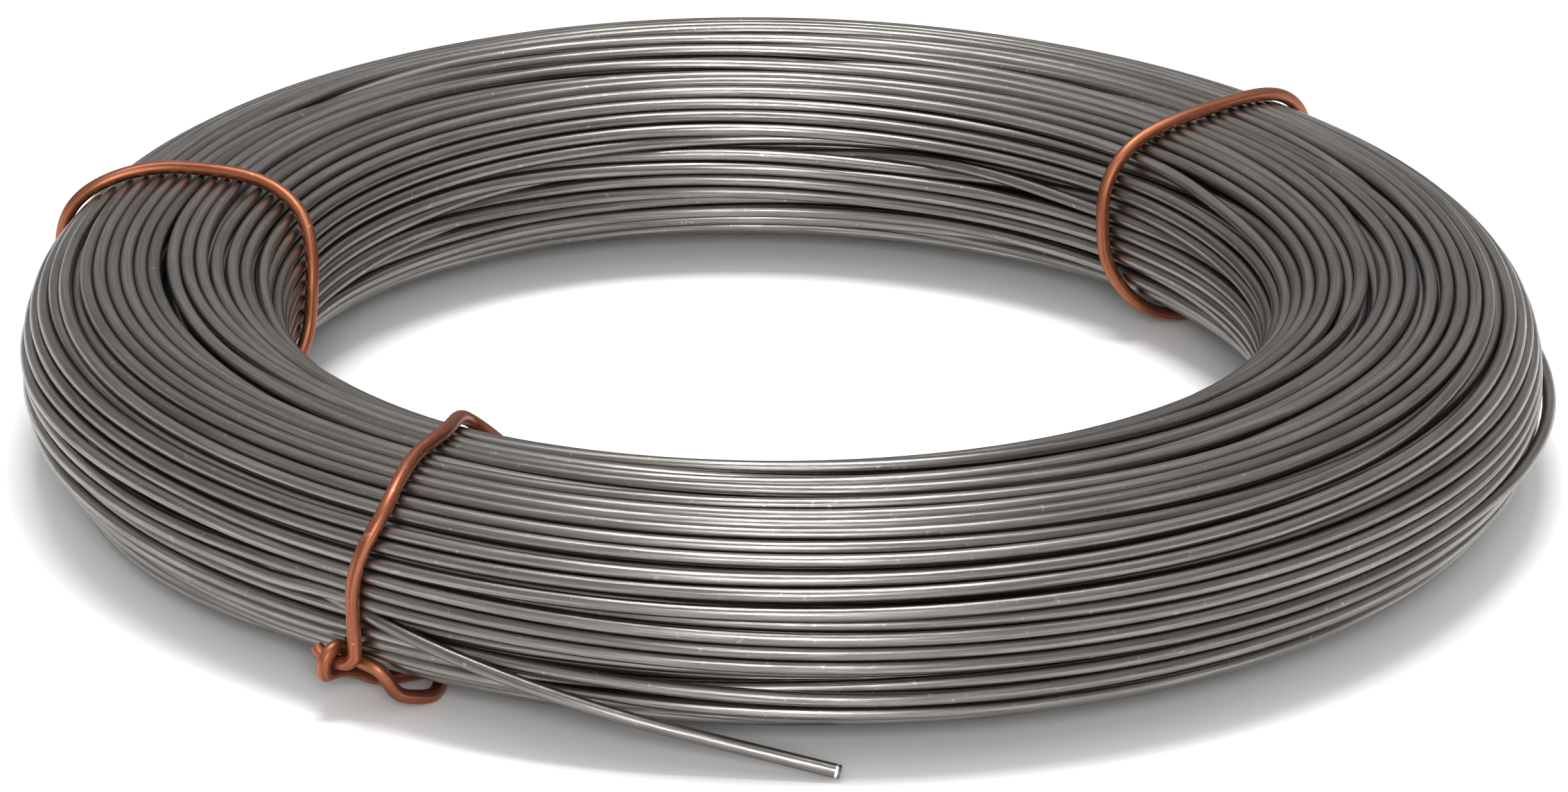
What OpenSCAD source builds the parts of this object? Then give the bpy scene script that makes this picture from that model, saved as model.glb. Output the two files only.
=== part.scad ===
// Coil of bright steel wire held by three copper ties, lying flat on the floor.
// Millimetres. The origin is on the coil's axis at floor level, Z is up, -Y is the front.

/* [Coil] */
// Outside diameter over the wires
coil_od = 200; // [180:1:220]
// Diameter of the open eye
eye_d = 124; // [112:1:130]
// Height of the bundle of turns
bundle_h = 27.6; // [24:0.2:32]
// Radius of the bundle's rounded corners
bundle_round = 12; // [8:0.5:13]
// Diameter of the steel wire
wire_d = 1.8; // [1.5:0.1:2.2]
// Distance between two turns on the surface, in wire diameters
turn_pitch = 1.1; // [1.05:0.01:1.3]
// How far the deepest surface turns lie below the highest ones
unevenness = 0.5; // [0:0.05:0.8]

/* [Loose end] */
// Straight length of the free end
end_straight = 20; // [12:1:24]
// Distance of the cut end to the right of the coil's centre line
end_side = 7.4; // [4:0.2:12]
// How far the middle of the cut end stands out in front of the turns
end_gap = 0.4; // [0:0.1:1.5]
// Slope of the free end down to the floor
end_dip = 12; // [9:0.5:13]
// Direction of the free end, turned to the front
end_heading = 5; // [3:0.5:8]
// How much smaller than the coil's the radius of the end's bend is
end_tight = 20; // [14:1:24]

/* [Stray turn] */
// How far one outer turn bows out of the bundle on the right
stray_out = 0.8; // [0.5:0.1:1.4]
// How far round the coil it bows out, to either side of the right, in degrees
stray_reach = 36; // [30:1:38]
// Height of the stray turn above the floor
stray_up = 12.3; // [10:0.1:20]

/* [Ties] */
// Diameter of the copper wire
tie_d = 1.8; // [1.4:0.1:2]
// Space between a tie and the turns under it
tie_gap = 0.2; // [0.15:0.05:0.4]
// Where each tie sits round the coil: front, left, right
tie_turn = [237, 166, 43.2];
// How far each tie strays along the coil at eight places: the knot, the outer side,
// the outer top, the top, the inner top, the inner side, the inner bottom, the bottom
front_stray = [2.2, 2, 4, 1, -3, 4.5, 5, 4];
left_stray = [-6, -2, -2, -6, -4, 2.5, 6, 0];
right_stray = [0, 1, 0.5, -0.5, 1, 0.5, -3.5, -4];
// Where the knot sits on the bundle's lower outer corner, in degrees below level
knot_angle = 30; // [22:1:40]
// Turns of one tie end round the other
knot_turns = 0.75; // [0.75:1:2.75]
// How far the cut end of the tie stands out of the knot
stub_out = 2.1; // [1.2:0.1:3]
// Width of the curled end beside the knot
curl_w = 5.5; // [4.5:0.5:8]
// How far the curled end reaches back under the bundle
curl_l = 18; // [15:0.5:19]

/* [Hidden] */
bundle_w = (coil_od - eye_d) / 2;
mid_r = (coil_od + eye_d) / 4;
mid_z = tie_d + tie_gap + bundle_h / 2;
end_bend_r = coil_od / 2 - end_tight;
tie_off = tie_gap + tie_d / 2;
knot_r = tie_d + 0.12;
knot_pitch = tie_d + 0.15;

// Half the way round a rounded rectangle, and a point at distance s on it,
// from the middle of the outer side over the top to the middle of the inner side
function half_rim(w, h, r) = w + h - 4 * r + PI * r;
function on_half(s, w, h, r) =
    let (a = h / 2 - r, q = PI * r / 2, b = w - 2 * r, deg = 180 / PI / r)
    s < a ? [w / 2, s] :
    s < a + q ? [w / 2 - r, a] + r * [cos((s - a) * deg), sin((s - a) * deg)] :
    s < a + q + b ? [w / 2 - r - (s - a - q), h / 2] :
    s < a + 2 * q + b ? [r - w / 2, a] - r * [sin((s - a - q - b) * deg), -cos((s - a - q - b) * deg)] :
    [-w / 2, a - (s - a - 2 * q - b)];
function on_rim(s, w, h, r) =
    let (half = half_rim(w, h, r))
    s < half ? on_half(s, w, h, r) : -on_half(s - half, w, h, r);

// Middles of the turns that show on the surface, each a little deeper or shallower
row_w = bundle_w - wire_d;
row_h = bundle_h - wire_d;
row_round = bundle_round - wire_d / 2;
row_count = floor(2 * half_rim(row_w, row_h, row_round) / (wire_d * turn_pitch));
function sunk(i) = unevenness * pow(sin(i * 137.5 + 40 * sin(i * 47)), 2);
rows = [for (i = [0:row_count - 1])
    let (p = on_rim((i + 0.5) / row_count * 2 * half_rim(row_w, row_h, row_round), row_w, row_h, row_round),
         k = sunk(i) / norm(p))
    p * (1 - k)];

// The bundle is turned as one piece: each surface turn is a ring of its own,
// and grooves half a wire deep part the rings
module bundle() {
    translate([0, 0, mid_z])
        rotate_extrude($fn = 120)
            translate([mid_r, 0]) {
                polygon(rows);
                for (p = rows)
                    translate(p) circle(d = wire_d, $fn = 20);
            }
}

// The last turn comes out of the bundle in a wide bend and ends in a straight, cut piece
module loose_end() {
    translate([end_side, -coil_od / 2 - end_gap, wire_d / 2 + 0.25])
        rotate([0, end_dip, -end_heading]) {
            rotate([0, -90, 0]) cylinder(d = wire_d, h = end_straight, $fn = 32);
            translate([-end_straight, end_bend_r, 0])
                rotate([0, 0, -90])
                    rotate_extrude(angle = -40, $fn = 160)
                        translate([end_bend_r, 0]) circle(d = wire_d, $fn = 32);
        }
}

// One turn lies to the right of the others: it bows out there and is buried in the bundle elsewhere
stray_shift = stray_out / (1 - cos(stray_reach));
module stray_turn() {
    translate([stray_shift, 0, stray_up])
        rotate_extrude($fn = 120)
            translate([coil_od / 2 + stray_out - stray_shift - wire_d / 2, 0]) circle(d = wire_d, $fn = 20);
}

module wire_coil() {
    color("#77736e") {
        bundle();
        loose_end();
        stray_turn();
    }
}

// A tie's route is worked out as [out, along, up] from the middle of the bundle
ring_w = bundle_w + 2 * tie_off;
ring_h = bundle_h + 2 * tie_off;
ring_round = bundle_round + tie_off;
floor_up = tie_d / 2 - mid_z;
knot_reach = ring_round + tie_d + 0.15;
knot_out = ring_w / 2 - ring_round + knot_reach * cos(knot_angle);
knot_up = max(ring_round - ring_h / 2 - knot_reach * sin(knot_angle), floor_up + knot_r + 0.05);

// The stub stands out of the knot with its cut end lifted, runs along the coil inside the knot
// and bends up into the outer side of the ring
wind_from = -1.85 - knot_pitch * knot_turns;
stub = concat(
    [for (t = [1:-0.25:0]) [knot_out, wind_from - stub_out * t, knot_up + 0.65 * stub_out * t * t]],
    [[knot_out, wind_from / 2 - 0.8, knot_up], [knot_out, -1.6, knot_up]]);
bend = [for (a = [0:22.5:90]) [knot_out, -1.5 + 2 * sin(a), knot_up + 2 * (1 - cos(a))]];

// The ring runs up the outer side, over the top, down inside and out along the floor,
// and the closing end takes over on the flat of the floor, half a wire from the inner corner
ring_full = 2 * half_rim(ring_w, ring_h, ring_round);
ring_flat = ring_w - 2 * ring_round;
ring_left = PI * ring_round / 2 + ring_h / 2 - ring_round + ring_flat - tie_d / 2;
ring_part = 1 - ring_left / ring_full;
ring = [for (i = [0:66])
    let (p = on_rim(ring_full * ring_part * i / 66, ring_w, ring_h, ring_round))
    [p[0], 0.5, p[1]]];

// Smooth curve through a list of points, from the second to the last but one
function spline(a, b, c, d, t) =
    0.5 * (2 * b + (c - a) * t + (2 * a - 5 * b + 4 * c - d) * t * t + (3 * b - a - 3 * c + d) * t * t * t);
function smooth(p, cuts) = [for (i = [1:len(p) - 3], j = [0:cuts - 1])
    spline(p[i - 1], p[i], p[i + 1], p[i + 2], j / cuts), p[len(p) - 2]];
function inner(p) = [for (i = [1:len(p) - 2]) p[i]];

// Place on an arc just outside the ring's lower outer corner, in degrees below level
function corner(deg, x) = [
    ring_w / 2 - ring_round + (ring_round + 0.4) * cos(deg), x,
    max(floor_up, ring_round - ring_h / 2 - (ring_round + 0.4) * sin(deg))];

// The other end rises outside the corner, winds round the stub from below and leaves it on
// the inner side as a tail, which drops to the floor in a curl and tucks back under the bundle
wind = [for (a = [0:15:knot_turns * 360])
    [knot_out + knot_r * sin(a), wind_from + knot_pitch * a / 360, knot_up - knot_r * cos(a)]];
lead = smooth([
    ring[65],
    ring[66],
    corner(78, wind_from * 0.5),
    corner(58, wind_from * 0.9),
    wind[0] - [2.5, 0, 0.5],
    wind[0],
    wind[1],
], 3);
tail = smooth([
    wind[len(wind) - 2],
    wind[len(wind) - 1],
    [knot_out - 1.9, 0.3, knot_up - 0.1],
    [knot_out - 2.2, curl_w * 0.5, knot_up - 1],
    [knot_out - 3.8, curl_w * 0.7, floor_up + 2.1],
    [knot_out - 5.8, curl_w * 0.9, floor_up + 1],
    [knot_out - curl_l / 2, curl_w, floor_up + 0.2],
    [knot_out - curl_l + 5, curl_w * 0.7, floor_up],
    [knot_out - curl_l + 2, curl_w * 0.2, floor_up],
    [knot_out - curl_l, 0, floor_up],
], 3);
closing = concat(inner(lead), wind, [for (i = [1:len(tail) - 1]) tail[i]]);

// Stray at a place round the ring, counted in eighths from the knot, eased from one to the next
function eased(stray, at) =
    let (i = floor(at), t = at - i, k = (3 - 2 * t) * t * t)
    stray[i % 8] * (1 - k) + stray[(i + 1) % 8] * k;

// The distance along follows the coil's curve, and no place lies lower than a tie on the floor
function placed(p, turn, stray) =
    let (radius = mid_r + p[0], az = turn + (p[1] + stray) / radius * 180 / PI)
    [radius * cos(az), radius * sin(az), mid_z + max(p[2], floor_up)];
function route(turn, stray) = concat(
    [for (p = concat(stub, bend)) placed(p, turn, stray[0])],
    [for (i = [0:66]) placed(ring[i], turn, eased(stray, 1 + 8 * ring_part * i / 66))],
    [for (i = [0:len(closing) - 1])
        placed(closing[i], turn, eased(stray, min(8, 1 + 8 * ring_part + (7 - 8 * ring_part) * i / 8)))]);

// Round wire swept along a path; each section is turned from the last by the least amount
function unit(v) = v / norm(v);
function heading(p, i) = unit(p[min(i + 1, len(p) - 1)] - p[max(i - 1, 0)]);
function carried(p, i, n) = let (h = heading(p, i)) unit(n - h * (n * h));
function normals(p, i = 0, n = [0, 0, 1]) =
    i == len(p) ? [] :
    let (m = carried(p, i, n)) concat([m], normals(p, i + 1, m));
module wire(path, d, sides = 10) {
    n = normals(path);
    points = [for (i = [0:len(path) - 1], k = [0:sides - 1])
        let (b = cross(heading(path, i), n[i]), a = 360 * k / sides)
        path[i] + d / 2 * (cos(a) * n[i] + sin(a) * b)];
    walls = [for (i = [0:len(path) - 2], k = [0:sides - 1])
        let (a = i * sides + k, b = i * sides + (k + 1) % sides)
        each [[a, a + sides, b], [b, a + sides, b + sides]]];
    last = (len(path) - 1) * sides;
    polyhedron(points, concat(walls,
        [[for (k = [0:sides - 1]) k]], [[for (k = [sides - 1:-1:0]) last + k]]));
}

module tie(turn, stray) {
    color("#b5683f") wire(route(turn, stray), tie_d);
}
module tie_front() tie(tie_turn[0], front_stray);
module tie_left() tie(tie_turn[1], left_stray);
module tie_right() tie(tie_turn[2], right_stray);

wire_coil();
tie_front();
tie_left();
tie_right();
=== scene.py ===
# Coil of steel wire held by three copper ties, lying flat on a pale floor.
import math
import bpy
import numpy as np
from mathutils import Matrix, Vector


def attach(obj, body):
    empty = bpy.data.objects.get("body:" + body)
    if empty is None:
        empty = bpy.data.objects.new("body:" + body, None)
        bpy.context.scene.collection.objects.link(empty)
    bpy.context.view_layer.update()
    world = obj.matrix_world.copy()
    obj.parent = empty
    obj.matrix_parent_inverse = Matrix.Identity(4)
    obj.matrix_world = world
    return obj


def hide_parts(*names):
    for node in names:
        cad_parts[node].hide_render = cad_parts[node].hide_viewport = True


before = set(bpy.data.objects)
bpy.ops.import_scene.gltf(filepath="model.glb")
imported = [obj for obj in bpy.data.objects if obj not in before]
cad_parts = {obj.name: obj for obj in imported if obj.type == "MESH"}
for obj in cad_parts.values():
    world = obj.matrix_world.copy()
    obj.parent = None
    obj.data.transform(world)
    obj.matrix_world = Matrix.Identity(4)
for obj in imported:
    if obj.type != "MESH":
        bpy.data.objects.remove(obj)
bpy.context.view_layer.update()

rng = np.random.default_rng(27)
scene = bpy.context.scene

# The camera stands where the photograph was taken from, far off with a long lens.
view = {
    "distance": 1.0985, "elevation": 23.07, "roll": 0.906,
    "aimHeight": 0.0025,                  # height of the optical axis above the floor, at the coil's axis
    "focalPixels": 13000, "imageSize": (2442, 1234),
    "axisPixel": (1222.1, 677.4),         # where that axis falls in the picture
}


# Camera axes from azimuth 0 and the elevation, turned by the roll, then tilted so that the picture's middle
# is the middle of the view: the offset of the axis pixel becomes a slope of the line of sight.
def makeCamera():
    el, roll = math.radians(view["elevation"]), math.radians(view["roll"])
    at = Vector((0, -view["distance"] * math.cos(el), view["distance"] * math.sin(el)))
    ahead = -at.normalized()
    side, up = Vector((1, 0, 0)), Vector((1, 0, 0)).cross(ahead)
    right = math.cos(roll) * side + math.sin(roll) * up
    top = math.cos(roll) * up - math.sin(roll) * side
    offX = (view["imageSize"][0] / 2 - view["axisPixel"][0]) / view["focalPixels"]
    offY = (view["axisPixel"][1] - view["imageSize"][1] / 2) / view["focalPixels"]
    look = (ahead + offX * right + offY * top).normalized()
    right = (right - look * right.dot(look)).normalized()
    top = right.cross(look)
    camera = bpy.data.objects.new("camera", bpy.data.cameras.new("camera"))
    camera.data.sensor_width = 36
    camera.data.lens = 36 * view["focalPixels"] / view["imageSize"][0]
    camera.data.clip_end = 20
    camera.matrix_world = Matrix.LocRotScale(at + Vector((0, 0, view["aimHeight"])),
                                             Matrix((right, top, -look)).transposed().to_quaternion(), None)
    scene.collection.objects.link(camera)
    scene.camera = camera


makeCamera()
print("stage: camera")

# The steel bundle, in metres and degrees. Angles run round the coil from the right, -90 is the front.
coil = {
    "wire": 0.0018, "turns": 238, "slices": 180,
    "midRadius": 0.081, "bottom": 0.0020,     # the ties lift the bundle off the floor
    # a hand-wound bundle isn't even: its mean size, then how it swells towards some angles,
    # each as strength, number of waves round the coil, and angle
    "inner": (0.0622, (-0.0023, 1, 0), (0.0011, 2, 0), (0.0010, 3, 0)),
    "outer": (0.0998, (0.0005, 1, -90), (-0.0007, 2, 20), (-0.0007, 3, 0)),
    "top": (0.0290, (0.0008, 1, -90), (-0.0005, 2, 0)),
    "square": 2.7,            # how square the section is: 2 is an ellipse
    "wander": 0.0009,         # how far a turn strays from its own place
    "waves": (0.5, 1.1, 1.9), # how often it strays in one round of the coil
    "room": 1.03,             # distance that the turns keep from each other, in wire diameters
    "tiePull": 0.97,          # the bundle is a little slimmer in a tie
    "tieReach": 16,           # and eases back over so many degrees
    # a dark cleft between the turns on top: middle angle, reach, radius, half width and depth
    "cleft": (193, 34, 0.0812, 0.0005, 0.004),
    "looseEnd": {"side": 0.0074, "front": 0.1004, "height": 0.00115, "dip": 12, "heading": 5,
                 "straight": 0.020, "bend": 0.080, "arc": 40,
                 "leadIn": 80},       # slices over which the turn eases over to the free piece
    # turns that bow away from the bundle: middle angle, reach, and the radius and height that they bow to
    "bows": [(-1, 34, 0.0998, 0.0123), (206, 30, 0.0994, 0.0188), (212, 26, 0.0945, 0.0045)],
}
ties = {
    "wire": 0.0018, "gap": 0.0001, "round": 0.012,
    "turn": (237, 166, 43.2),
    # how far each tie strays along the coil at eight places from the knot up and round, in millimetres
    "stray": ((2.2, 2, 4, 1, -3, 4.5, 5, 4),
              (-6, -2, -2, -6, -4, 2.5, 6, 0),
              (0, 1, 0.5, -0.5, 1, 0.5, -3.5, -4)),
    "knotAngle": 30, "knotTurns": 0.75,       # place below level, and turns of one end round the other
    "slack": 0.00012, "pitchSlack": 0.00015,  # space between the two ends, and between the turns
    "stubOut": 0.0021, "curl": 0.0055,        # length of the cut end, and width of the curled one
    "step": 0.0005, "sides": 20,              # distance between rings of the tube, and sides of a ring
}


# A size that swells towards some angles: its mean plus a cosine for each swelling.
def around(size, angle):
    return size[0] + sum(a * np.cos(waves * (angle - math.radians(at))) for a, waves, at in size[1:])


# Middle and half size of the bundle's section at an angle, as out, up, half width and half height.
def section(angle):
    inner, outer, top = (around(coil[k], angle) for k in ("inner", "outer", "top"))
    return ((inner + outer) / 2 - coil["midRadius"], (top + coil["bottom"]) / 2,
            (outer - inner) / 2, (top - coil["bottom"]) / 2)


# Degrees from a place on the coil to an angle, the shorter way round.
def awayFrom(angle, middle):
    return (np.degrees(angle) - middle + 180) % 360 - 180


# 1 in the middle of a stretch of the coil, easing to 0 at its ends along a cosine.
def window(angle, middle, reach):
    off = awayFrom(angle, middle)
    return np.where(abs(off) < reach, 0.5 + 0.5 * np.cos(np.pi * np.clip(off / reach, -1, 1)), 0)


# The last turn's free piece: a straight line back from the cut end, then an arc that bends into the bundle.
# Returned as radius and height for the angles asked for, with the angle of the cut end.
def looseEndLine():
    e = coil["looseEnd"]
    s = np.linspace(0, e["straight"], 40)
    a = np.radians(np.linspace(0, e["arc"], 60))[1:]
    x = np.concatenate([-s, -e["straight"] - e["bend"] * np.sin(a)])
    y = np.concatenate([0 * s, e["bend"] * (1 - np.cos(a))])
    dip, head = math.radians(e["dip"]), -math.radians(e["heading"])
    px, pz = x * math.cos(dip), -x * math.sin(dip)
    wx = e["side"] + px * math.cos(head) - y * math.sin(head)
    wy = -e["front"] + px * math.sin(head) + y * math.cos(head)
    return np.arctan2(wy, wx) % (2 * np.pi), np.hypot(wx, wy), e["height"] + pz


endAngle, endRadius, endHeight = looseEndLine()
startAngle = endAngle[0]
sliceAngle = startAngle + np.arange(coil["slices"]) * 2 * np.pi / coil["slices"]


# Places of the turns in the bundle's section: rows from the bottom up, filled to and fro, inside the
# rounded outline. The pitch is the root of the outline's area over the number of turns.
def slots(count, halfW, halfH, power):
    outlineShare, rowStep = 0.93, 0.866       # of the box round it, and of the pitch in a tight pack
    pitch = math.sqrt(4 * halfW * halfH * outlineShare / count / rowStep)
    rows = np.arange(-halfH, halfH + pitch, pitch * rowStep)
    found = []
    for number, z in enumerate(rows - rows.mean()):
        reach = halfW * max(0.0, 1 - min(1, abs(z) / halfH) ** power) ** (1 / power)
        fit = max(2, int(round(2 * reach / pitch)) + 1)
        line = np.linspace(-reach, reach, fit)[::1 if number % 2 else -1]
        found += [(u, z) for u in line]
    found = np.array(found)
    pick = np.linspace(0, len(found) - 1, count + 1).round().astype(int)
    return found[pick]


# A smooth random drift along the wire: waves of uneven length with random phase, added up.
def drift(length, perTurn, size):
    k = np.arange(length) / coil["slices"] * 2 * np.pi
    wave = np.zeros((length, 2))
    for f in perTurn:
        phase, rate = rng.uniform(0, 2 * np.pi, 2), f * rng.uniform(0.8, 1.2, 2)
        wave += np.sin(k[:, None] * rate + phase + 2.5 * np.sin(k[:, None] * rate * 0.37 + phase[::-1]))
    return wave * size / math.sqrt(len(perTurn))


# How the turns settle against each other.
settling = {
    "rounds": 170, "calmAfter": 0.8,          # steps, and the share of them after which all is calm
    "spread": 0.0015,                         # push outwards in each step, so that the surface is full
    "smooth": 0.15, "smoothEarly": 0.3,       # how much of a turn's bends each step takes out
    "near": 1.7, "lookEvery": 6,              # neighbours are so many diameters apart, looked up every so often
    "push": 0.42, "pushMost": 0.5,            # share of an overlap taken out, and most of it in diameters
    "outline": 0.4,                           # how firmly the outline keeps the turns in
    "blur": 5.0, "blurReach": 12,             # slices that a turn's own direction is worked out over
    "last": 0.7,                              # how much of the kinks that are left is drawn straight
}


# A path blurred along its length, with a bell curve of weights.
def blurred(path):
    far = settling["blurReach"]
    weight = np.exp(-(np.arange(-far, far + 1) / settling["blur"]) ** 2)
    weight /= weight.sum()
    return np.stack([np.convolve(np.pad(path[:, c], far, "edge"), weight, "valid") for c in (0, 1)], 1)


# Neighbouring turns in every slice, as two lists of points: all distances, twenty slices at a time.
def neighbours(path, n, m):
    grid = path.reshape(n, m, 2).transpose(1, 0, 2)
    index = np.arange(n * m).reshape(n, m)
    near = []
    for start in range(0, m, 20):
        part = grid[start:start + 20]
        gap = ((part[:, :, None] - part[:, None]) ** 2).sum(-1)
        a, i, j = np.nonzero(np.triu(gap < (settling["near"] * coil["wire"]) ** 2, 1))
        near.append(np.stack([index[i, a + start], index[j, a + start]]))
    return np.concatenate(near, 1)


# Settles the wound wire: in each slice through the coil the turns are discs that push each other apart,
# the outline keeps them in, and each turn is smoothed along its own length, so crossings stay long and
# easy. Places are out and up from the middle of the section. Returns them with how near the surface each is.
def windWire():
    n, m, d = coil["turns"], coil["slices"], coil["wire"]
    outAt, upAt, halfW, halfH = (np.tile(v, n) for v in section(sliceAngle))
    for angle in ties["turn"]:
        squeeze = 1 - (1 - coil["tiePull"]) * np.exp(-(awayFrom(sliceAngle, angle) / coil["tieReach"]) ** 2)
        halfW, halfH = halfW * np.tile(squeeze, n), halfH * np.tile(squeeze, n)
    halfW, halfH = halfW - d / 2, halfH - d / 2
    layoutW, layoutH = 0.019, 0.0134          # half size of the first layout, fitted to the section below
    place = slots(n, layoutW, layoutH, coil["square"])
    t = np.arange(m)[None, :, None] / m
    path = (place[:-1, None] * (1 - t) + place[1:, None] * t).reshape(-1, 2)
    path *= np.stack([halfW / layoutW, halfH / layoutH], 1)
    path += drift(n * m, coil["waves"], coil["wander"])
    # the free end and the stretch before it are held on their own line
    off = (startAngle - endAngle) % (2 * np.pi)
    held = int(off[-1] / (2 * np.pi) * m)
    back = np.arange(1, held + 1) * 2 * np.pi / m
    pinned = np.stack([np.interp(back, off, endRadius) - coil["midRadius"],
                       np.interp(back, off, endHeight)], 1)[::-1]
    pinned -= np.stack([outAt[-held:], upAt[-held:]], 1)
    # the stretch before the held one eases over to it, and yields less and less to the other turns
    far = coil["looseEnd"]["leadIn"]
    ease = np.arange(1, far + 1) / (far + 1)
    lean = pinned[0] - (pinned[1] - pinned[0]) * np.arange(far, 0, -1)[:, None] * (1 - ease[:, None])
    ease = ease * ease * (3 - 2 * ease)
    path[-held - far:-held] = path[-held - far:-held] * (1 - ease[:, None]) + lean * ease[:, None]
    free = np.ones(n * m)
    free[-held:] = 0
    free[-held - far:-held] = 1 - ease
    cleftAngle, cleftReach, cleftRadius, cleftWidth, cleftDepth = coil["cleft"]
    opened = np.tile(window(sliceAngle, cleftAngle, cleftReach), n)
    opened = np.where(opened > 0, opened * cleftWidth + d / 2, 0)
    square, rule = coil["square"], settling
    for step in range(rule["rounds"]):
        if step % rule["lookEvery"] == 0:
            first, second = neighbours(path, n, m)
        calm = max(0.0, 1 - step / (rule["rounds"] * rule["calmAfter"]))
        inner = path[1:-1]
        smoothing = rule["smooth"] + rule["smoothEarly"] * calm
        path[1:-1] = inner + smoothing * ((path[2:] + path[:-2]) / 2 - inner)
        path *= 1 + rule["spread"] * calm
        for _ in range(2):
            # turns part along the direction that they keep over a longer stretch, so that where two cross,
            # one passes over the other
            eased = blurred(path)
            path += rule["smooth"] * (eased - path)
            delta = path[second] - path[first]
            apart = eased[second] - eased[first]
            apart /= np.linalg.norm(apart, axis=1)[:, None] + 1e-9
            along = (delta * apart).sum(1)
            short = (d * coil["room"]) ** 2 - (delta ** 2).sum(1)
            push = np.where(short > 0, np.sqrt(np.clip(along ** 2 + short, 0, None)) - along, 0)
            push = np.minimum(push, rule["pushMost"] * d)[:, None] * apart * rule["push"]
            for c in (0, 1):
                pushed = np.bincount(second, push[:, c], n * m) - np.bincount(first, push[:, c], n * m)
                path[:, c] += free * pushed
            side = path[:, 0] - (cleftRadius - coil["midRadius"] - outAt)
            inside = (path[:, 1] > halfH - cleftDepth) & (abs(side) < opened)
            path[:, 0] += np.where(inside, (np.sign(side) * opened - side) * 0.5, 0)
            reach = (abs(path[:, 0]) / halfW) ** square + (abs(path[:, 1]) / halfH) ** square
            reach = reach ** (1 / square)
            path /= np.where((reach > 1) & (free > 0), 1 + rule["outline"] * (reach - 1), 1)[:, None]
            path[-held:] = pinned
    # what kinks are left are drawn straight
    path += rule["last"] * free[:, None] * (blurred(path) - path)
    delta = path[second] - path[first]
    dist = np.sqrt((delta ** 2).sum(1))
    print("stage: wire wound, overlap mean %.3f mm, deepest %.3f mm"
          % (np.clip(d - dist, 0, None).mean() * 1e3, (d - dist).max() * 1e3))
    path += np.stack([outAt, upAt], 1)
    # a few outer turns bow away from the rest
    for middle, far, radius, height in coil["bows"]:
        at = np.abs(awayFrom(sliceAngle, middle)).argmin()
        goal = np.array([radius - coil["midRadius"], height])
        here = path.reshape(n, m, 2)[1:-1, at]
        turn = ((here - goal) ** 2).sum(1).argmin() + 1
        stretch = np.arange(turn * m + at - m // 2, min(turn * m + at + m // 2, n * m - held))
        bowed = window(np.tile(sliceAngle, n)[stretch], middle, far)
        path[stretch] += bowed[:, None] * (goal - here[turn - 1])
    last = np.array([[endRadius[0] - coil["midRadius"], endHeight[0]]])
    return np.concatenate([path, last]), reach.reshape(n, m)


# A round tube along a path: each ring lies across the path's own direction and starts at the given side
# of it, and its points are the radius times the cosine and sine of an even turn. The map runs along the
# length in metres and once round the wire. The ends are flat lids with sharp rims.
def tubeMesh(name, runs, sides):
    verts, quads, maps, lids = [], [], [], []
    base = 0
    turn = np.arange(sides) / sides * 2 * np.pi
    for line, head, side, along, radius in runs:
        a = side - head * (side * head).sum(1)[:, None]
        a /= np.linalg.norm(a, axis=1)[:, None]
        b = np.cross(head, a)
        ring = line[:, None] + radius[:, None, None] * (np.cos(turn)[None, :, None] * a[:, None]
                                                        + np.sin(turn)[None, :, None] * b[:, None])
        verts.append(ring.reshape(-1, 3))
        i, k = np.meshgrid(np.arange(len(line) - 1), np.arange(sides), indexing="ij")
        k2 = (k + 1) % sides
        ringAt, nextAt = base + i * sides, base + (i + 1) * sides
        quads.append(np.stack([ringAt + k, ringAt + k2, nextAt + k2, nextAt + k], -1).reshape(-1, 4))
        u0, u1, v0, v1 = along[i], along[i + 1], k / sides, (k + 1) / sides
        maps.append(np.stack([np.stack([u0, v0], -1), np.stack([u0, v1], -1),
                              np.stack([u1, v1], -1), np.stack([u1, v0], -1)], -2).reshape(-1, 2))
        lids.append(np.arange(sides)[::-1] + base)
        base += len(line) * sides
        lids.append(np.arange(sides) + base - sides)
    verts, quads, maps = (np.concatenate(part) for part in (verts, quads, maps))
    lids = np.array(lids)
    mesh = bpy.data.meshes.new(name)
    corners = np.concatenate([quads.ravel(), lids.ravel()])
    starts = np.concatenate([np.arange(len(quads)) * 4, quads.size + np.arange(len(lids)) * sides])
    mesh.vertices.add(len(verts))
    mesh.vertices.foreach_set("co", verts.astype(np.float32).ravel())
    mesh.loops.add(len(corners))
    mesh.loops.foreach_set("vertex_index", corners.astype(np.int32))
    mesh.polygons.add(len(starts))
    mesh.polygons.foreach_set("loop_start", starts.astype(np.int32))
    mesh.polygons.foreach_set("use_smooth", np.arange(len(starts)) < len(quads))
    layer = mesh.uv_layers.new(name="length")
    maps = np.concatenate([maps, np.zeros((lids.size, 2))])
    layer.data.foreach_set("uv", maps.astype(np.float32).ravel())
    mesh.update(calc_edges=True)
    edges = np.empty(len(mesh.edges) * 2, np.int32)
    mesh.edges.foreach_get("vertices", edges)
    rim = np.zeros(len(verts), bool)
    rim[lids.ravel()] = True
    sharp = mesh.attributes.new("sharp_edge", "BOOLEAN", "EDGE")
    sharp.data.foreach_set("value", rim[edges.reshape(-1, 2)].all(1))
    mesh.validate()
    piece = bpy.data.objects.new(name, mesh)
    scene.collection.objects.link(piece)
    return piece


# Level direction away from the coil's axis.
def outwards(line):
    away = line * np.array([1, 1, 0])
    return away / np.linalg.norm(away, axis=1)[:, None]


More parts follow.
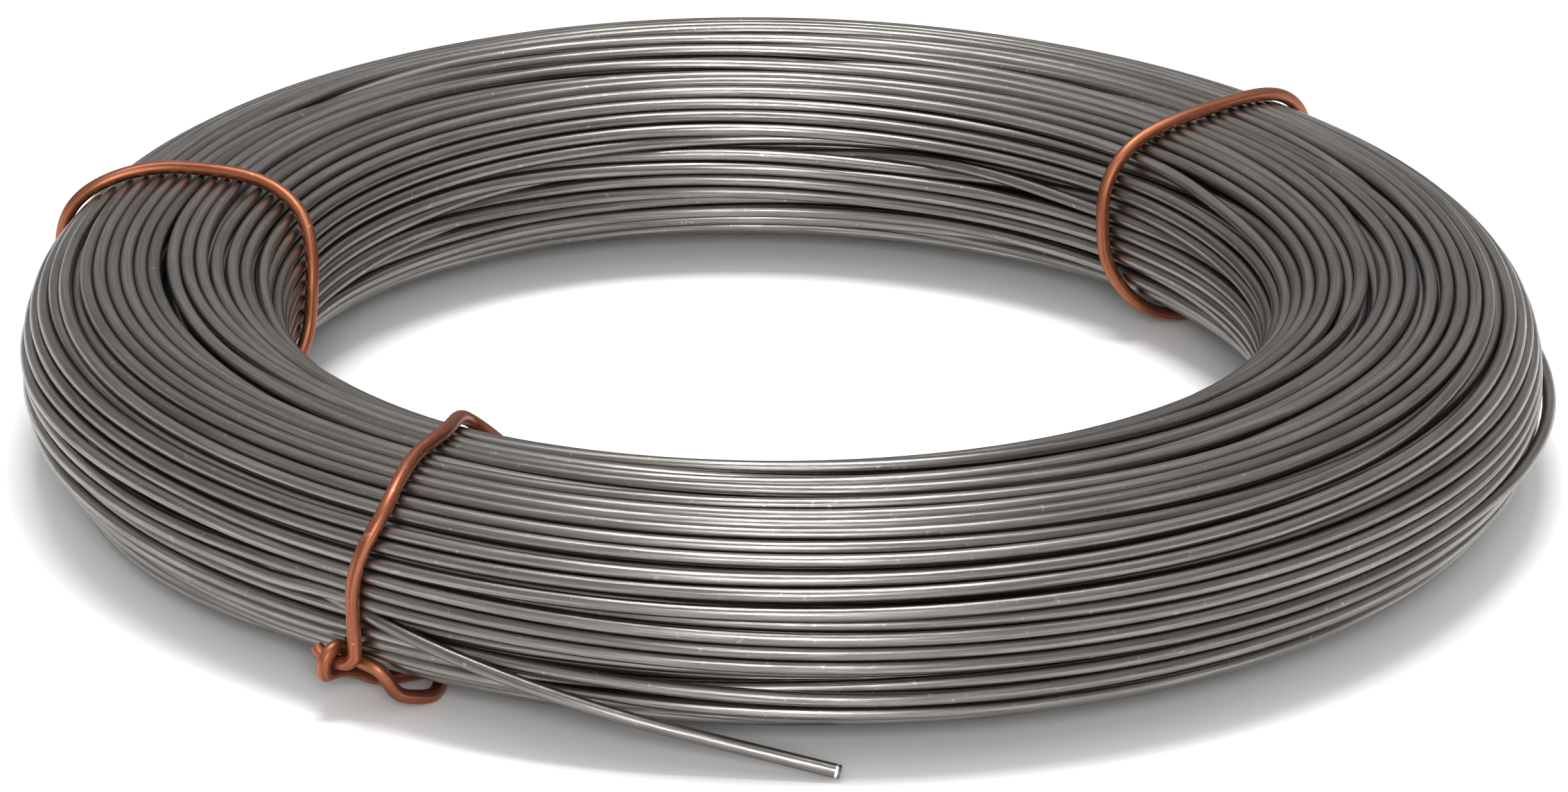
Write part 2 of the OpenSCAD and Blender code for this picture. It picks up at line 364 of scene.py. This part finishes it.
wirePath, wireReach = windWire()
n, m = coil["turns"], coil["slices"]
angle = startAngle + np.arange(n * m + 1) * 2 * np.pi / m
radius = coil["midRadius"] + wirePath[:, 0]
wireLine = np.stack([radius * np.cos(angle), radius * np.sin(angle), wirePath[:, 1]], 1)
wireHead = np.gradient(wireLine, axis=0)
wireHead /= np.linalg.norm(wireHead, axis=1)[:, None]
wireAlong = np.concatenate([[0], np.cumsum(np.linalg.norm(np.diff(wireLine, axis=0), axis=1))])
# the cut end is slightly rounded: distance from the end, and radius there
tipBack, tipRadius = np.array([0.0006, 0.00012, 0.0]), np.array([1, 0.97, 0.86]) * coil["wire"] / 2
print("stage: %.1f m of wire" % wireAlong[-1])


# Turns that come near the surface get fine tubes and the hidden ones coarse tubes.
# Neighbouring turns of a kind are one run of the wire.
def runsOf(turns, skip):
    runs, turns = [], list(turns)
    while turns:
        first = turns[0]
        count = 1
        while count < len(turns) and turns[count] == first + count:
            count += 1
        pick = np.arange(first * m, (first + count) * m + 1, skip)
        line, head, along = wireLine[pick], wireHead[pick], wireAlong[pick]
        size = np.full(len(pick), coil["wire"] / 2)
        if first + count == n:
            line = np.concatenate([line[:-1], line[-1] - head[-1] * tipBack[:, None]])
            head = np.concatenate([head[:-1], head[[-1, -1, -1]]])
            along = np.concatenate([along[:-1], along[-1] - tipBack])
            size = np.concatenate([size[:-1], tipRadius])
        runs.append((line, head, outwards(line), along, size))
        turns = turns[count:]
    return runs


# which turns are fine, how many of them make a piece, and the sides of a fine and a coarse ring
tubes = {"surface": 0.84, "share": 45, "fineSides": 12, "coarseSides": 6}
fine = np.nonzero(wireReach.max(1) > tubes["surface"])[0]
coarse = np.setdiff1d(np.arange(n), fine)
print("turns near the surface:", len(fine), "of", n)
share = tubes["share"]
wirePieces = [tubeMesh("wire_turns_%d" % (k // share + 1), runsOf(fine[k:k + share], 1), tubes["fineSides"])
              for k in range(0, len(fine), share)]
wirePieces.append(tubeMesh("wire_turns_inside", runsOf(coarse, 2), tubes["coarseSides"]))
for piece in wirePieces:
    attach(piece, "root")
    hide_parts("wire_coil")
print("stage: steel tubes", [len(p.data.polygons) for p in wirePieces])


# The ties' route is the one of the solid model, fitted to the uneven bundle: a stub that stands out of the
# knot, a ring round the section, and the other end, which winds round the stub and leaves it as a curl.
# Each point is out, along and up; the last number is its place round the ring in eighths from the knot.
def tieRoute(number):
    d = ties["wire"]
    off = ties["gap"] + d / 2
    low = d / 2
    outAt, upAt, halfW, halfH = section(math.radians(ties["turn"][number]))
    halfW, halfH = halfW * coil["tiePull"], halfH * coil["tiePull"]
    cornerOut, cornerUp, r = outAt + halfW - ties["round"], upAt - halfH + ties["round"], ties["round"] + off
    knotR, pitch = d + ties["slack"], d + ties["pitchSlack"]
    angle = math.radians(ties["knotAngle"])
    knotOut = cornerOut + (r + d) * math.cos(angle)
    knotUp = cornerUp - (r + d) * math.sin(angle)
    start = -0.00185 - pitch * ties["knotTurns"]
    t = np.linspace(1, 0, 5)
    stub = np.stack([knotOut + 0 * t, start - ties["stubOut"] * t,
                     knotUp + 0.65 * ties["stubOut"] * t * t, 0 * t], 1)
    t = np.radians(np.arange(0, 91, 22.5))
    bend = np.stack([knotOut + 0 * t, -0.0015 + 0.002 * np.sin(t),
                     knotUp + 0.002 * (1 - np.cos(t)), 0 * t], 1)
    # the ring is the section's own outline, set out by half a wire: cosine and sine to the power that
    # gives its squareness
    turn = np.radians(np.arange(0, 280, 5.0))
    power = 2 / coil["square"]
    ring = np.stack([outAt + (halfW + off) * np.sign(np.cos(turn)) * abs(np.cos(turn)) ** power,
                     0.0005 + 0 * turn,
                     upAt + (halfH + off) * np.sign(np.sin(turn)) * abs(np.sin(turn)) ** power,
                     1 + turn / math.radians(45)], 1)
    t = np.radians(np.arange(0, ties["knotTurns"] * 360 + 1e-6, 15))
    wind = np.stack([knotOut + knotR * np.sin(t), start + pitch * t / (2 * np.pi),
                     knotUp - knotR * np.cos(t), 8 + 0 * t], 1)
    # the lead rises just outside the lower corner and passes under the stub
    wide = r + 0.0003
    lead = [[cornerOut + wide * math.cos(a), start * part, cornerUp - wide * math.sin(a), 7.5 + part / 2]
            for a, part in ((math.radians(72), 0.6), (math.radians(56), 0.9))]
    lead = np.array(lead + [[knotOut - 0.0025, start, knotUp - knotR - 0.0005, 8]])
    c = ties["curl"]
    tail = np.array([
        [knotOut - 0.0019, 0.0003, knotUp - 0.0001, 8],
        [knotOut - 0.0022, c * 0.5, knotUp - 0.001, 8],
        [knotOut - 0.0038, c * 0.7, low + 0.0021, 8],
        [knotOut - 0.0058, c * 0.9, low + 0.001, 8],
        [knotOut - 0.009, c, low + 0.0002, 8],
        [knotOut - 0.013, c * 0.7, low, 8],
        [knotOut - 0.016, c * 0.2, low, 8],
    ])
    return np.concatenate([stub, bend, ring, lead, wind, tail])


# The stray between two of the eight places, on a smooth curve through them all.
def strayAt(number, place):
    stray = np.array(ties["stray"][number]) / 1000
    i = np.floor(place).astype(int)
    t = place - i
    a, b, c, e = (stray[(i + k) % 8] for k in (-1, 0, 1, 2))
    return b + 0.5 * t * (c - a + t * (2 * a - 5 * b + 4 * c - e + t * (3 * b - a - 3 * c + e)))


# Smooth curve through points, then points at an even distance along it.
def evenPath(p, spacing):
    ends = np.concatenate([[2 * p[0] - p[1]], p, [2 * p[-1] - p[-2]]])
    t = np.arange(8)[None, :, None] / 8
    a, b, c, e = (ends[k:len(ends) - 3 + k][:, None] for k in range(4))
    fineLine = 0.5 * (2 * b + (c - a) * t + (2 * a - 5 * b + 4 * c - e) * t ** 2
                      + (3 * b - a - 3 * c + e) * t ** 3)
    fineLine = np.concatenate([fineLine.reshape(-1, 3), p[-1:]])
    s = np.concatenate([[0], np.cumsum(np.linalg.norm(np.diff(fineLine, axis=0), axis=1))])
    at = np.linspace(0, s[-1], int(s[-1] / spacing))
    return np.stack([np.interp(at, s, fineLine[:, k]) for k in range(3)], 1), at


# Directions across a path, each carried on from the last with the least turn.
# A first guess turns by its own whim between two points: that angle is measured, summed and taken out.
def carriedNormals(head):
    guess = np.cross(head, (0.28, 0.31, 0.91))
    guess /= np.linalg.norm(guess, axis=1)[:, None]
    other = np.cross(head, guess)
    moved = guess[:-1] - head[1:] * (guess[:-1] * head[1:]).sum(1)[:, None]
    slip = np.arctan2((moved * other[1:]).sum(1), (moved * guess[1:]).sum(1))
    angle = np.cumsum(np.concatenate([[0], slip]))[:, None]
    return np.cos(angle) * guess + np.sin(angle) * other


# One copper tie: its route is bent round the coil's axis, made even and swept.
def makeTie(name, number):
    p = tieRoute(number)
    r = coil["midRadius"] + p[:, 0]
    az = math.radians(ties["turn"][number]) + (p[:, 1] + strayAt(number, p[:, 3])) / r
    line, along = evenPath(np.stack([r * np.cos(az), r * np.sin(az), p[:, 2]], 1), ties["step"])
    line[:, 2] = np.maximum(line[:, 2], ties["wire"] / 2)     # nothing lies lower than the floor
    head = np.gradient(line, axis=0)
    head /= np.linalg.norm(head, axis=1)[:, None]
    size = np.full(len(line), ties["wire"] / 2)
    size[[0, -1]] *= 0.85                                     # the cut ends are slightly rounded
    piece = tubeMesh(name, [(line, head, carriedNormals(head), along, size)], ties["sides"])
    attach(piece, "root")
    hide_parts("tie_" + name.split("_")[-1])
    return piece


tiePieces = [makeTie("copper_" + side, number) for number, side in enumerate(("front", "left", "right"))]
print("stage: copper ties")


# Small helpers for node trees.
def newMaterial(name):
    material = bpy.data.materials.new(name)
    material.use_nodes = True
    tree = material.node_tree
    return material, tree, tree.nodes["Principled BSDF"]


def addNode(tree, kind, **values):
    node = tree.nodes.new(kind)
    for key, value in values.items():
        if key in node.inputs:
            node.inputs[key].default_value = value
        else:
            setattr(node, key, value)
    return node


def ramp(tree, source, stops):
    node = tree.nodes.new("ShaderNodeValToRGB")
    while len(node.color_ramp.elements) < len(stops):
        node.color_ramp.elements.new(0.5)
    for element, (place, colour) in zip(node.color_ramp.elements, stops):
        element.position = place
        element.color = (*colour, 1) if hasattr(colour, "__len__") else (colour, colour, colour, 1)
    tree.links.new(source, node.inputs[0])
    return node.outputs[0]


steel = {"dark": (0.14, 0.124, 0.112), "mid": (0.262, 0.244, 0.229), "light": (0.41, 0.39, 0.37),
         "roughLow": 0.25, "roughHigh": 0.40,
         # a painted highlight at the nipped end, where the cut face catches the light, as a narrow near-white
         # band in the colour: how far from the end, half its width, and its colour
         "paintedEndHighlight": (0.00052, 0.00018, (0.9, 0.9, 0.9))}
copper = {"dark": (0.20, 0.062, 0.034), "mid": (0.42, 0.145, 0.076), "light": (0.62, 0.26, 0.15),
          "roughLow": 0.36, "roughHigh": 0.52}


# Drawn metal: fine lines along the length from noise stretched on the length map, broad darker stretches,
# small bright rubbed spots, and a painted highlight, a bright band in the colour at a nipped end. The same
# lines feed colour, roughness and bump.
def drawnWire(name, tone, bump):
    material, tree, shader = newMaterial(name)
    link = tree.links.new
    uv = addNode(tree, "ShaderNodeUVMap", uv_map="length")
    spots = addNode(tree, "ShaderNodeTexCoord")
    stretch = addNode(tree, "ShaderNodeMapping")
    stretch.inputs["Scale"].default_value = (60, 14, 1)
    link(uv.outputs[0], stretch.inputs["Vector"])
    lines = addNode(tree, "ShaderNodeTexNoise", Scale=1.0, Detail=4.0, Roughness=0.7)
    link(stretch.outputs[0], lines.inputs["Vector"])
    longer = addNode(tree, "ShaderNodeMapping")
    longer.inputs["Scale"].default_value = (9, 0.8, 1)
    link(uv.outputs[0], longer.inputs["Vector"])
    broad = addNode(tree, "ShaderNodeTexNoise", Scale=1.0, Detail=3.0, Roughness=0.6)
    link(longer.outputs[0], broad.inputs["Vector"])
    speck = addNode(tree, "ShaderNodeTexNoise", Scale=900.0, Detail=2.0, Roughness=0.6)
    link(spots.outputs["Object"], speck.inputs["Vector"])
    body = ramp(tree, lines.outputs["Fac"], [(0.3, tone["dark"]), (0.5, tone["mid"]), (0.72, tone["light"])])
    shade = ramp(tree, broad.outputs["Fac"], [(0.35, 0.62), (0.6, 1.0)])
    tint = addNode(tree, "ShaderNodeMix", data_type="RGBA", blend_type="MULTIPLY")
    tint.inputs["Factor"].default_value = 1
    link(body, tint.inputs["A"])
    link(shade, tint.inputs["B"])
    bright = ramp(tree, speck.outputs["Fac"], [(0.66, 0.0), (0.74, 0.6)])
    worn = addNode(tree, "ShaderNodeMix", data_type="RGBA")
    link(bright, worn.inputs["Factor"])
    link(tint.outputs["Result"], worn.inputs["A"])
    worn.inputs["B"].default_value = (*tone["light"], 1)
    colour = worn.outputs["Result"]
    # painted highlight: a near-white band painted into the colour close to the wire's cut end
    if "paintedEndHighlight" in tone:
        back, half, highlightColour = tone["paintedEndHighlight"]
        place = addNode(tree, "ShaderNodeSeparateXYZ")
        link(uv.outputs[0], place.inputs[0])
        highlightMask = addNode(tree, "ShaderNodeMath", operation="COMPARE")
        link(place.outputs["X"], highlightMask.inputs[0])
        highlightMask.inputs[1].default_value, highlightMask.inputs[2].default_value = wireAlong[-1] - back, half
        withPaintedHighlight = addNode(tree, "ShaderNodeMix", data_type="RGBA")
        link(highlightMask.outputs[0], withPaintedHighlight.inputs["Factor"])
        link(colour, withPaintedHighlight.inputs["A"])
        withPaintedHighlight.inputs["B"].default_value = (*highlightColour, 1)
        colour = withPaintedHighlight.outputs["Result"]
    link(colour, shader.inputs["Base Color"])
    shader.inputs["Metallic"].default_value = 1
    rough = ramp(tree, lines.outputs["Fac"], [(0.3, tone["roughHigh"]), (0.7, tone["roughLow"])])
    link(rough, shader.inputs["Roughness"])
    relief = addNode(tree, "ShaderNodeBump", Strength=bump, Distance=0.00008)
    link(lines.outputs["Fac"], relief.inputs["Height"])
    link(relief.outputs[0], shader.inputs["Normal"])
    return material


steelMaterial = drawnWire("drawn_steel", steel, 0.5)
copperMaterial = drawnWire("bare_copper", copper, 0.4)
for piece in wirePieces:
    piece.data.materials.append(steelMaterial)
for piece in tiePieces:
    piece.data.materials.append(copperMaterial)
print("stage: materials")

studio = {
    "floor": (0.95, 0.95, 0.95),
    "horizon": 0.33, "zenith": 0.74,      # the grey world is brighter overhead
    # place, width and height, and power of each soft box, all aimed at the coil
    "boxes": [("top_box", (0.0, 0.04, 1.25), (0.6, 0.34), 12),
              ("front_card", (0.0, -1.35, 0.62), (0.5, 0.5), 11)],
}


# A plain floor, a grey world that brightens overhead, and soft boxes.
def makeStage():
    mesh = bpy.data.meshes.new("floor")
    mesh.from_pydata([(-6, -6, 0), (6, -6, 0), (6, 6, 0), (-6, 6, 0)], [], [(0, 1, 2, 3)])
    floor = bpy.data.objects.new("floor", mesh)
    scene.collection.objects.link(floor)
    material, tree, shader = newMaterial("white_floor")
    shader.inputs["Base Color"].default_value = (*studio["floor"], 1)
    shader.inputs["Roughness"].default_value = 0.9
    mesh.materials.append(material)
    world = bpy.data.worlds.new("studio")
    scene.world = world
    world.use_nodes = True
    tree = world.node_tree
    sky = addNode(tree, "ShaderNodeTexCoord")
    height = addNode(tree, "ShaderNodeSeparateXYZ")
    tree.links.new(sky.outputs["Generated"], height.inputs[0])
    tree.links.new(ramp(tree, height.outputs["Z"], [(0.05, studio["horizon"]), (0.95, studio["zenith"])]),
                   tree.nodes["Background"].inputs["Color"])
    tree.nodes["Background"].inputs["Strength"].default_value = 1
    for name, place, (wide, high), power in studio["boxes"]:
        lamp = bpy.data.lights.new(name, "AREA")
        lamp.shape, lamp.size, lamp.size_y, lamp.energy = "RECTANGLE", wide, high, power
        holder = bpy.data.objects.new(name, lamp)
        aim = Vector(place).to_track_quat("Z", "Y").to_matrix().to_4x4()
        holder.matrix_world = Matrix.Translation(place) @ aim
        scene.collection.objects.link(holder)


makeStage()
scene.view_settings.view_transform = "Standard"
print("stage: floor and lights")
